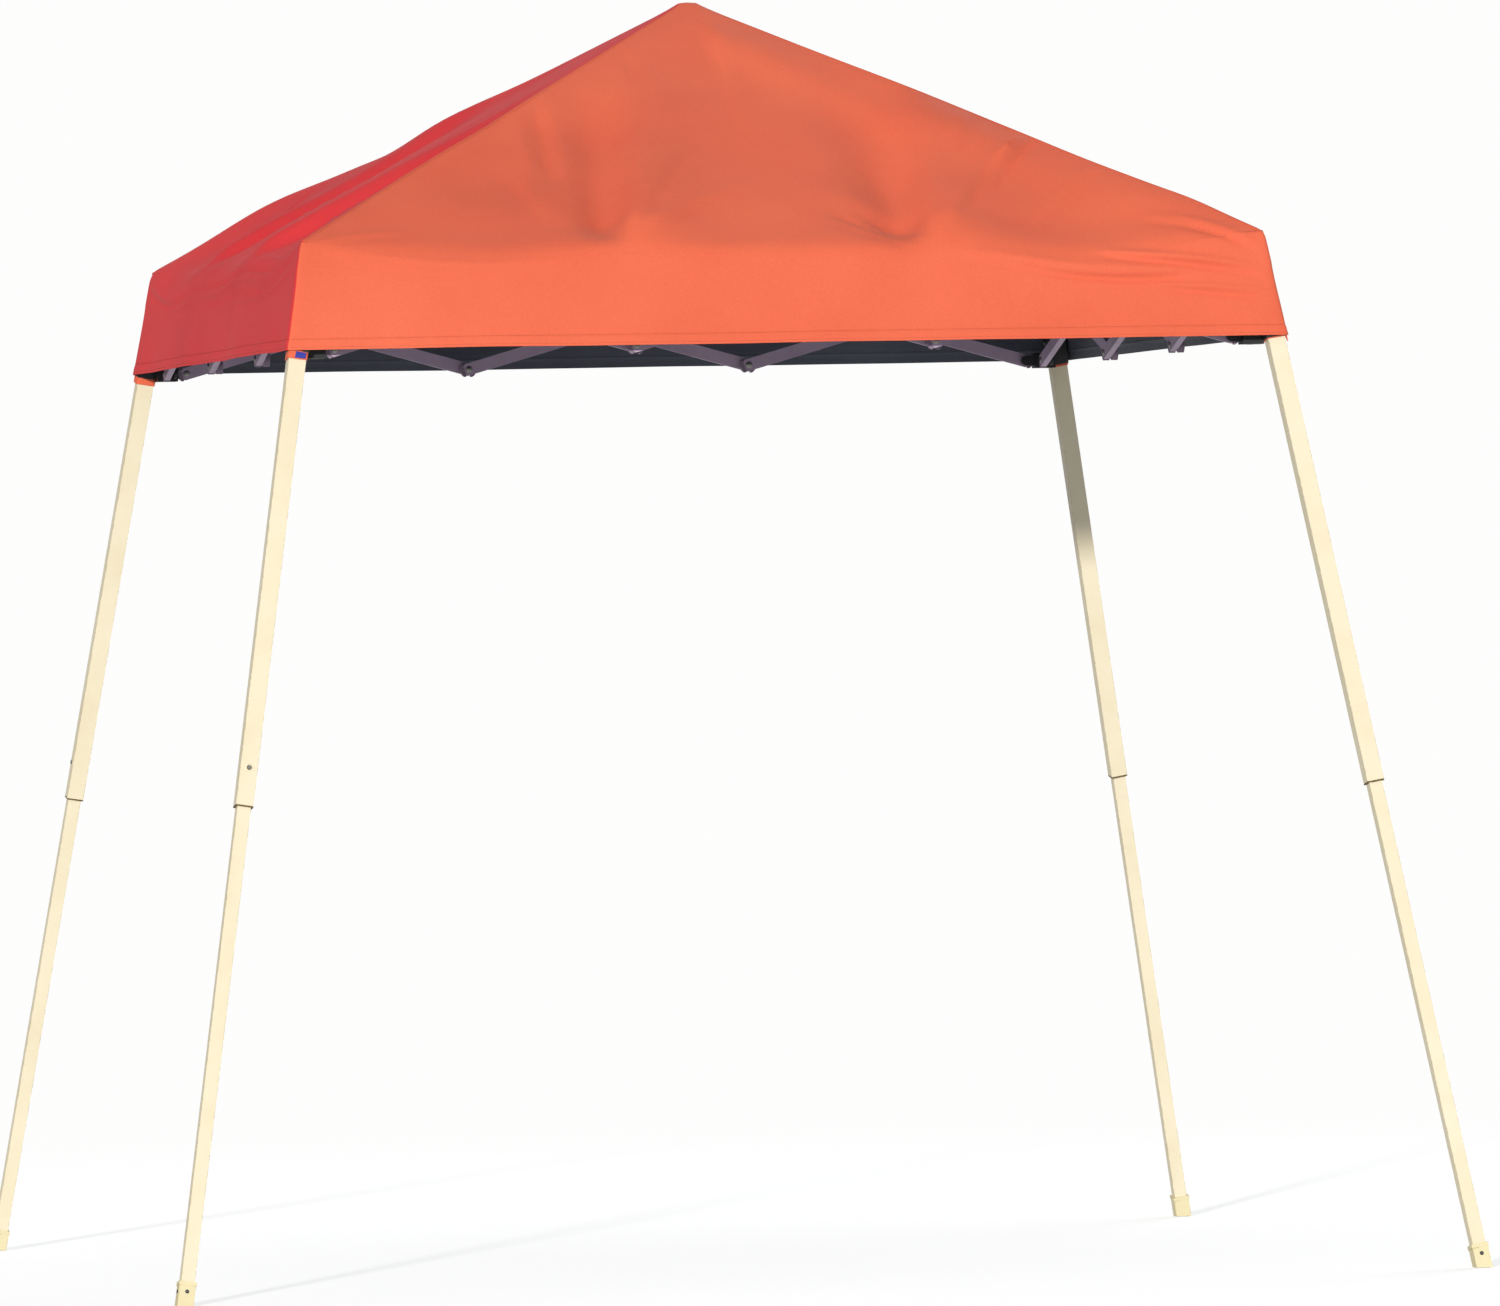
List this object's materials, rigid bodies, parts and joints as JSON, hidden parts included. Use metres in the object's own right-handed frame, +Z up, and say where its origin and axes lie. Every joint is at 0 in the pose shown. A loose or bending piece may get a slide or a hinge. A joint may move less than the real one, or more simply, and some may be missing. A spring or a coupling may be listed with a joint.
{
  "type": "pop-up canopy shelter",
  "caption": "Square pop-up tarp shelter: slanted telescoping legs, a scissor-braced folding frame and a low pyramid fabric canopy with a short valance.",
  "frame": {"origin": "on the floor, below the peak, at the centre of the four feet", "axes": "+Z up, the front side of the canopy faces -Y"},
  "size_m": [2.4428, 2.4428, 2.4006],
  "materials": {
    "canopy_cloth": "matte woven polyester, terracotta outside, dark slate coating inside",
    "frame_paint": "satin powder coat, mauve grey",
    "leg_paint": "satin powder coat, warm cream",
    "fitting_plastic": "moulded black nylon",
    "foot_plastic": "moulded, pale yellow cream",
    "button_steel": "plated spring steel"
  },
  "bodies": {
    "hub": {"hub": "fitting_plastic", "hub_cap": "fitting_plastic", "canopy": "canopy_cloth"},
    "upper_rafter_fl": {"upper_rafter_fl": "frame_paint"},
    "lower_leg_fl": {"lower_leg_fl": "leg_paint", "foot_cap_fl": "foot_plastic"},
    "lower_leg_fr": {"lower_leg_fr": "leg_paint", "foot_cap_fr": "foot_plastic"},
    "lower_leg_br": {"lower_leg_br": "leg_paint", "foot_cap_br": "foot_plastic"},
    "lower_leg_bl": {"lower_leg_bl": "leg_paint", "foot_cap_bl": "foot_plastic"},
    "leg_button_fl": {"leg_button_fl": "button_steel"},
    "leg_button_fr": {"leg_button_fr": "button_steel"},
    "leg_button_br": {"leg_button_br": "button_steel"},
    "leg_button_bl": {"leg_button_bl": "button_steel"},
    "lower_rafter_fl": {"lower_rafter_fl": "frame_paint"},
    "corner_bracket_fl": {"corner_bracket_fl": "fitting_plastic"},
    "upper_leg_fl": {"upper_leg_fl": "leg_paint"},
    "slider_fl": {"slider_fl": "fitting_plastic"},
    "upper_rafter_fr": {"upper_rafter_fr": "frame_paint"},
    "lower_rafter_fr": {"lower_rafter_fr": "frame_paint"},
    "corner_bracket_fr": {"corner_bracket_fr": "fitting_plastic"},
    "upper_leg_fr": {"upper_leg_fr": "leg_paint"},
    "slider_fr": {"slider_fr": "fitting_plastic"},
    "upper_rafter_br": {"upper_rafter_br": "frame_paint"},
    "lower_rafter_br": {"lower_rafter_br": "frame_paint"},
    "corner_bracket_br": {"corner_bracket_br": "fitting_plastic"},
    "upper_leg_br": {"upper_leg_br": "leg_paint"},
    "slider_br": {"slider_br": "fitting_plastic"},
    "upper_rafter_bl": {"upper_rafter_bl": "frame_paint"},
    "lower_rafter_bl": {"lower_rafter_bl": "frame_paint"},
    "corner_bracket_bl": {"corner_bracket_bl": "fitting_plastic"},
    "upper_leg_bl": {"upper_leg_bl": "leg_paint"},
    "slider_bl": {"slider_bl": "fitting_plastic"},
    "front_fall_bar_1": {"front_fall_bar_1": "frame_paint"},
    "front_rise_bar_1": {"front_rise_bar_1": "frame_paint"},
    "front_fall_bar_2": {"front_fall_bar_2": "frame_paint"},
    "front_rise_bar_3": {"front_rise_bar_3": "frame_paint"},
    "front_fall_bar_3": {"front_fall_bar_3": "frame_paint"},
    "front_rise_bar_2": {"front_rise_bar_2": "frame_paint"},
    "right_fall_bar_1": {"right_fall_bar_1": "frame_paint"},
    "right_rise_bar_1": {"right_rise_bar_1": "frame_paint"},
    "right_fall_bar_2": {"right_fall_bar_2": "frame_paint"},
    "right_rise_bar_3": {"right_rise_bar_3": "frame_paint"},
    "right_fall_bar_3": {"right_fall_bar_3": "frame_paint"},
    "right_rise_bar_2": {"right_rise_bar_2": "frame_paint"},
    "back_fall_bar_1": {"back_fall_bar_1": "frame_paint"},
    "back_rise_bar_1": {"back_rise_bar_1": "frame_paint"},
    "back_fall_bar_2": {"back_fall_bar_2": "frame_paint"},
    "back_rise_bar_3": {"back_rise_bar_3": "frame_paint"},
    "back_fall_bar_3": {"back_fall_bar_3": "frame_paint"},
    "back_rise_bar_2": {"back_rise_bar_2": "frame_paint"},
    "left_fall_bar_1": {"left_fall_bar_1": "frame_paint"},
    "left_rise_bar_1": {"left_rise_bar_1": "frame_paint"},
    "left_fall_bar_2": {"left_fall_bar_2": "frame_paint"},
    "left_rise_bar_3": {"left_rise_bar_3": "frame_paint"},
    "left_fall_bar_3": {"left_fall_bar_3": "frame_paint"},
    "left_rise_bar_2": {"left_rise_bar_2": "frame_paint"}
  },
  "joints": [
    {"name": "fold", "type": "hinge", "parent": "hub", "child": "upper_rafter_fl", "pos_m": [-0.02828, -0.02828, 2.358], "axis": [0.7071, -0.7071, 0], "range_deg": [0, 64.17], "stiffness_Nm_per_rad": 10, "springref_deg": -143.24, "deforming": ["canopy"]},
    {"name": "leg_slide_fl", "type": "slide", "parent": "upper_leg_fl", "child": "lower_leg_fl", "axis": [0.163, 0.163, 0.9731], "range_m": [0, 0.85], "stiffness_N_per_m": 100, "springref_m": -2, "deforming": ["leg_button_fl"]},
    {"name": "leg_slide_fr", "type": "slide", "parent": "upper_leg_fr", "child": "lower_leg_fr", "axis": [-0.163, 0.163, 0.9731], "range_m": [0, 0.85], "stiffness_N_per_m": 100, "springref_m": -2, "deforming": ["leg_button_fr"]},
    {"name": "leg_slide_br", "type": "slide", "parent": "upper_leg_br", "child": "lower_leg_br", "axis": [-0.163, -0.163, 0.9731], "range_m": [0, 0.85], "stiffness_N_per_m": 100, "springref_m": -2, "deforming": ["leg_button_br"]},
    {"name": "leg_slide_bl", "type": "slide", "parent": "upper_leg_bl", "child": "lower_leg_bl", "axis": [0.163, -0.163, 0.9731], "range_m": [0, 0.85], "stiffness_N_per_m": 100, "springref_m": -2, "deforming": ["leg_button_bl"]},
    {"name": "button_press_fl", "type": "slide", "parent": "lower_leg_fl", "child": "leg_button_fl", "axis": [-0.0135, 0.9865, -0.163], "range_m": [0, 0.006]},
    {"name": "button_press_fr", "type": "slide", "parent": "lower_leg_fr", "child": "leg_button_fr", "axis": [-0.9865, -0.0135, -0.163], "range_m": [0, 0.006]},
    {"name": "button_press_br", "type": "slide", "parent": "lower_leg_br", "child": "leg_button_br", "axis": [0.0135, -0.9865, -0.163], "range_m": [0, 0.006]},
    {"name": "button_press_bl", "type": "slide", "parent": "lower_leg_bl", "child": "leg_button_bl", "axis": [0.9865, 0.0135, -0.163], "range_m": [0, 0.006]},
    {"name": "knee_fold_fl", "type": "hinge", "parent": "upper_rafter_fl", "child": "lower_rafter_fl", "pos_m": [-0.44014, -0.44014, 2.144], "axis": [0.7071, -0.7071, 0], "range_deg": [-168.85, 0], "stiffness_Nm_per_rad": 10, "springref_deg": 143.24},
    {"name": "bracket_turn_fl", "type": "hinge", "parent": "lower_rafter_fl", "child": "corner_bracket_fl", "pos_m": [-0.852, -0.852, 1.93], "axis": [0.7071, -0.7071, 0], "range_deg": [0, 104.62]},
    {"name": "leg_rock_fl", "type": "hinge", "parent": "corner_bracket_fl", "child": "upper_leg_fl", "pos_m": [-0.88842, -0.88842, 1.896], "axis": [0.7071, -0.7071, 0], "range_deg": [0, 9.6]},
    {"name": "slider_travel_fl", "type": "slide", "parent": "upper_leg_fl", "child": "slider_fl", "axis": [-0.163, -0.163, -0.9731], "range_m": [0, 0.43205]},
    {"name": "rafter_fold_fr", "type": "hinge", "parent": "hub", "child": "upper_rafter_fr", "pos_m": [0.02828, -0.02828, 2.358], "axis": [0.7071, 0.7071, 0], "range_deg": [0, 64.23], "stiffness_Nm_per_rad": 10, "springref_deg": -143.24},
    {"name": "knee_fold_fr", "type": "hinge", "parent": "upper_rafter_fr", "child": "lower_rafter_fr", "pos_m": [0.44014, -0.44014, 2.144], "axis": [0.7071, 0.7071, 0], "range_deg": [-168.85, 0], "stiffness_Nm_per_rad": 10, "springref_deg": 143.24},
    {"name": "bracket_turn_fr", "type": "hinge", "parent": "lower_rafter_fr", "child": "corner_bracket_fr", "pos_m": [0.852, -0.852, 1.93], "axis": [0.7071, 0.7071, 0], "range_deg": [0, 104.62]},
    {"name": "leg_rock_fr", "type": "hinge", "parent": "corner_bracket_fr", "child": "upper_leg_fr", "pos_m": [0.88842, -0.88842, 1.896], "axis": [0.7071, 0.7071, 0], "range_deg": [0, 9.6]},
    {"name": "slider_travel_fr", "type": "slide", "parent": "upper_leg_fr", "child": "slider_fr", "axis": [0.163, -0.163, -0.9731], "range_m": [0, 0.43205]},
    {"name": "rafter_fold_br", "type": "hinge", "parent": "hub", "child": "upper_rafter_br", "pos_m": [0.02828, 0.02828, 2.358], "axis": [-0.7071, 0.7071, 0], "range_deg": [0, 64.23], "stiffness_Nm_per_rad": 10, "springref_deg": -143.24},
    {"name": "knee_fold_br", "type": "hinge", "parent": "upper_rafter_br", "child": "lower_rafter_br", "pos_m": [0.44014, 0.44014, 2.144], "axis": [-0.7071, 0.7071, 0], "range_deg": [-168.85, 0], "stiffness_Nm_per_rad": 10, "springref_deg": 143.24},
    {"name": "bracket_turn_br", "type": "hinge", "parent": "lower_rafter_br", "child": "corner_bracket_br", "pos_m": [0.852, 0.852, 1.93], "axis": [-0.7071, 0.7071, 0], "range_deg": [0, 104.62]},
    {"name": "leg_rock_br", "type": "hinge", "parent": "corner_bracket_br", "child": "upper_leg_br", "pos_m": [0.88842, 0.88842, 1.896], "axis": [-0.7071, 0.7071, 0], "range_deg": [0, 9.6]},
    {"name": "slider_travel_br", "type": "slide", "parent": "upper_leg_br", "child": "slider_br", "axis": [0.163, 0.163, -0.9731], "range_m": [0, 0.43205]},
    {"name": "rafter_fold_bl", "type": "hinge", "parent": "hub", "child": "upper_rafter_bl", "pos_m": [-0.02828, 0.02828, 2.358], "axis": [-0.7071, -0.7071, 0], "range_deg": [0, 64.23], "stiffness_Nm_per_rad": 10, "springref_deg": -143.24},
    {"name": "knee_fold_bl", "type": "hinge", "parent": "upper_rafter_bl", "child": "lower_rafter_bl", "pos_m": [-0.44014, 0.44014, 2.144], "axis": [-0.7071, -0.7071, 0], "range_deg": [-168.85, 0], "stiffness_Nm_per_rad": 10, "springref_deg": 143.24},
    {"name": "bracket_turn_bl", "type": "hinge", "parent": "lower_rafter_bl", "child": "corner_bracket_bl", "pos_m": [-0.852, 0.852, 1.93], "axis": [-0.7071, -0.7071, 0], "range_deg": [0, 104.62]},
    {"name": "leg_rock_bl", "type": "hinge", "parent": "corner_bracket_bl", "child": "upper_leg_bl", "pos_m": [-0.88842, 0.88842, 1.896], "axis": [-0.7071, -0.7071, 0], "range_deg": [0, 9.6]},
    {"name": "slider_travel_bl", "type": "slide", "parent": "upper_leg_bl", "child": "slider_bl", "axis": [-0.163, 0.163, -0.9731], "range_m": [0, 0.43205]},
    {"name": "front_top_left_pivot", "type": "hinge", "parent": "corner_bracket_fl", "child": "front_fall_bar_1", "pos_m": [-0.844, -0.88, 1.882], "axis": [0, 1, 0], "range_deg": [0, 67.38]},
    {"name": "front_cross_1_pivot", "type": "hinge", "parent": "front_fall_bar_1", "child": "front_rise_bar_1", "pos_m": [-0.56267, -0.88, 1.803], "axis": [0, 1, 0], "range_deg": [-134.76, 0]},
    {"name": "front_top_1_pivot", "type": "hinge", "parent": "front_rise_bar_1", "child": "front_fall_bar_2", "pos_m": [-0.28133, -0.88, 1.882], "axis": [0, 1, 0], "range_deg": [0, 134.76]},
    {"name": "front_top_right_pivot", "type": "hinge", "parent": "corner_bracket_fr", "child": "front_rise_bar_3", "pos_m": [0.844, -0.88, 1.882], "axis": [0, 1, 0], "range_deg": [-67.38, 0]},
    {"name": "front_cross_3_pivot", "type": "hinge", "parent": "front_rise_bar_3", "child": "front_fall_bar_3", "pos_m": [0.56267, -0.88, 1.803], "axis": [0, 1, 0], "range_deg": [0, 134.76]},
    {"name": "front_top_2_pivot", "type": "hinge", "parent": "front_fall_bar_3", "child": "front_rise_bar_2", "pos_m": [0.28133, -0.88, 1.882], "axis": [0, 1, 0], "range_deg": [-134.76, 0]},
    {"name": "right_top_left_pivot", "type": "hinge", "parent": "corner_bracket_fr", "child": "right_fall_bar_1", "pos_m": [0.88, -0.844, 1.882], "axis": [-1, 0, 0], "range_deg": [0, 67.38]},
    {"name": "right_cross_1_pivot", "type": "hinge", "parent": "right_fall_bar_1", "child": "right_rise_bar_1", "pos_m": [0.88, -0.56267, 1.803], "axis": [-1, 0, 0], "range_deg": [-134.76, 0]},
    {"name": "right_top_1_pivot", "type": "hinge", "parent": "right_rise_bar_1", "child": "right_fall_bar_2", "pos_m": [0.88, -0.28133, 1.882], "axis": [-1, 0, 0], "range_deg": [0, 134.76]},
    {"name": "right_top_right_pivot", "type": "hinge", "parent": "corner_bracket_br", "child": "right_rise_bar_3", "pos_m": [0.88, 0.844, 1.882], "axis": [-1, 0, 0], "range_deg": [-67.38, 0]},
    {"name": "right_cross_3_pivot", "type": "hinge", "parent": "right_rise_bar_3", "child": "right_fall_bar_3", "pos_m": [0.88, 0.56267, 1.803], "axis": [-1, 0, 0], "range_deg": [0, 134.76]},
    {"name": "right_top_2_pivot", "type": "hinge", "parent": "right_fall_bar_3", "child": "right_rise_bar_2", "pos_m": [0.88, 0.28133, 1.882], "axis": [-1, 0, 0], "range_deg": [-134.76, 0]},
    {"name": "back_top_left_pivot", "type": "hinge", "parent": "corner_bracket_br", "child": "back_fall_bar_1", "pos_m": [0.844, 0.88, 1.882], "axis": [0, -1, 0], "range_deg": [0, 67.38]},
    {"name": "back_cross_1_pivot", "type": "hinge", "parent": "back_fall_bar_1", "child": "back_rise_bar_1", "pos_m": [0.56267, 0.88, 1.803], "axis": [0, -1, 0], "range_deg": [-134.76, 0]},
    {"name": "back_top_1_pivot", "type": "hinge", "parent": "back_rise_bar_1", "child": "back_fall_bar_2", "pos_m": [0.28133, 0.88, 1.882], "axis": [0, -1, 0], "range_deg": [0, 134.76]},
    {"name": "back_top_right_pivot", "type": "hinge", "parent": "corner_bracket_bl", "child": "back_rise_bar_3", "pos_m": [-0.844, 0.88, 1.882], "axis": [0, -1, 0], "range_deg": [-67.38, 0]},
    {"name": "back_cross_3_pivot", "type": "hinge", "parent": "back_rise_bar_3", "child": "back_fall_bar_3", "pos_m": [-0.56267, 0.88, 1.803], "axis": [0, -1, 0], "range_deg": [0, 134.76]},
    {"name": "back_top_2_pivot", "type": "hinge", "parent": "back_fall_bar_3", "child": "back_rise_bar_2", "pos_m": [-0.28133, 0.88, 1.882], "axis": [0, -1, 0], "range_deg": [-134.76, 0]},
    {"name": "left_top_left_pivot", "type": "hinge", "parent": "corner_bracket_bl", "child": "left_fall_bar_1", "pos_m": [-0.88, 0.844, 1.882], "axis": [1, 0, 0], "range_deg": [0, 67.38]},
    {"name": "left_cross_1_pivot", "type": "hinge", "parent": "left_fall_bar_1", "child": "left_rise_bar_1", "pos_m": [-0.88, 0.56267, 1.803], "axis": [1, 0, 0], "range_deg": [-134.76, 0]},
    {"name": "left_top_1_pivot", "type": "hinge", "parent": "left_rise_bar_1", "child": "left_fall_bar_2", "pos_m": [-0.88, 0.28133, 1.882], "axis": [1, 0, 0], "range_deg": [0, 134.76]},
    {"name": "left_top_right_pivot", "type": "hinge", "parent": "corner_bracket_fl", "child": "left_rise_bar_3", "pos_m": [-0.88, -0.844, 1.882], "axis": [1, 0, 0], "range_deg": [-67.38, 0]},
    {"name": "left_cross_3_pivot", "type": "hinge", "parent": "left_rise_bar_3", "child": "left_fall_bar_3", "pos_m": [-0.88, -0.56267, 1.803], "axis": [1, 0, 0], "range_deg": [0, 134.76]},
    {"name": "left_top_2_pivot", "type": "hinge", "parent": "left_fall_bar_3", "child": "left_rise_bar_2", "pos_m": [-0.88, -0.28133, 1.882], "axis": [1, 0, 0], "range_deg": [-134.76, 0]}
  ],
  "couplings": [
    {"joint": "knee_fold_fl", "follows": "fold", "ratio": -2.6288},
    {"joint": "bracket_turn_fl", "follows": "fold", "ratio": 1.6288},
    {"joint": "leg_rock_fl", "follows": "fold", "ratio": 0.14945},
    {"joint": "slider_travel_fl", "follows": "fold", "m_per_rad": 0.38541},
    {"joint": "rafter_fold_fr", "follows": "fold", "ratio": 1},
    {"joint": "knee_fold_fr", "follows": "fold", "ratio": -2.6288},
    {"joint": "bracket_turn_fr", "follows": "fold", "ratio": 1.6288},
    {"joint": "leg_rock_fr", "follows": "fold", "ratio": 0.14945},
    {"joint": "slider_travel_fr", "follows": "fold", "m_per_rad": 0.38541},
    {"joint": "rafter_fold_br", "follows": "fold", "ratio": 1},
    {"joint": "knee_fold_br", "follows": "fold", "ratio": -2.6288},
    {"joint": "bracket_turn_br", "follows": "fold", "ratio": 1.6288},
    {"joint": "leg_rock_br", "follows": "fold", "ratio": 0.14945},
    {"joint": "slider_travel_br", "follows": "fold", "m_per_rad": 0.38541},
    {"joint": "rafter_fold_bl", "follows": "fold", "ratio": 1},
    {"joint": "knee_fold_bl", "follows": "fold", "ratio": -2.6288},
    {"joint": "bracket_turn_bl", "follows": "fold", "ratio": 1.6288},
    {"joint": "leg_rock_bl", "follows": "fold", "ratio": 0.14945},
    {"joint": "slider_travel_bl", "follows": "fold", "m_per_rad": 0.38541},
    {"joint": "front_top_left_pivot", "follows": "fold", "ratio": 1.0491},
    {"joint": "front_cross_1_pivot", "follows": "fold", "ratio": -2.0982},
    {"joint": "front_top_1_pivot", "follows": "fold", "ratio": 2.0982},
    {"joint": "front_top_right_pivot", "follows": "fold", "ratio": -1.0491},
    {"joint": "front_cross_3_pivot", "follows": "fold", "ratio": 2.0982},
    {"joint": "front_top_2_pivot", "follows": "fold", "ratio": -2.0982},
    {"joint": "right_top_left_pivot", "follows": "fold", "ratio": 1.0491},
    {"joint": "right_cross_1_pivot", "follows": "fold", "ratio": -2.0982},
    {"joint": "right_top_1_pivot", "follows": "fold", "ratio": 2.0982},
    {"joint": "right_top_right_pivot", "follows": "fold", "ratio": -1.0491},
    {"joint": "right_cross_3_pivot", "follows": "fold", "ratio": 2.0982},
    {"joint": "right_top_2_pivot", "follows": "fold", "ratio": -2.0982},
    {"joint": "back_top_left_pivot", "follows": "fold", "ratio": 1.0491},
    {"joint": "back_cross_1_pivot", "follows": "fold", "ratio": -2.0982},
    {"joint": "back_top_1_pivot", "follows": "fold", "ratio": 2.0982},
    {"joint": "back_top_right_pivot", "follows": "fold", "ratio": -1.0491},
    {"joint": "back_cross_3_pivot", "follows": "fold", "ratio": 2.0982},
    {"joint": "back_top_2_pivot", "follows": "fold", "ratio": -2.0982},
    {"joint": "left_top_left_pivot", "follows": "fold", "ratio": 1.0491},
    {"joint": "left_cross_1_pivot", "follows": "fold", "ratio": -2.0982},
    {"joint": "left_top_1_pivot", "follows": "fold", "ratio": 2.0982},
    {"joint": "left_top_right_pivot", "follows": "fold", "ratio": -1.0491},
    {"joint": "left_cross_3_pivot", "follows": "fold", "ratio": 2.0982},
    {"joint": "left_top_2_pivot", "follows": "fold", "ratio": -2.0982}
  ]
}
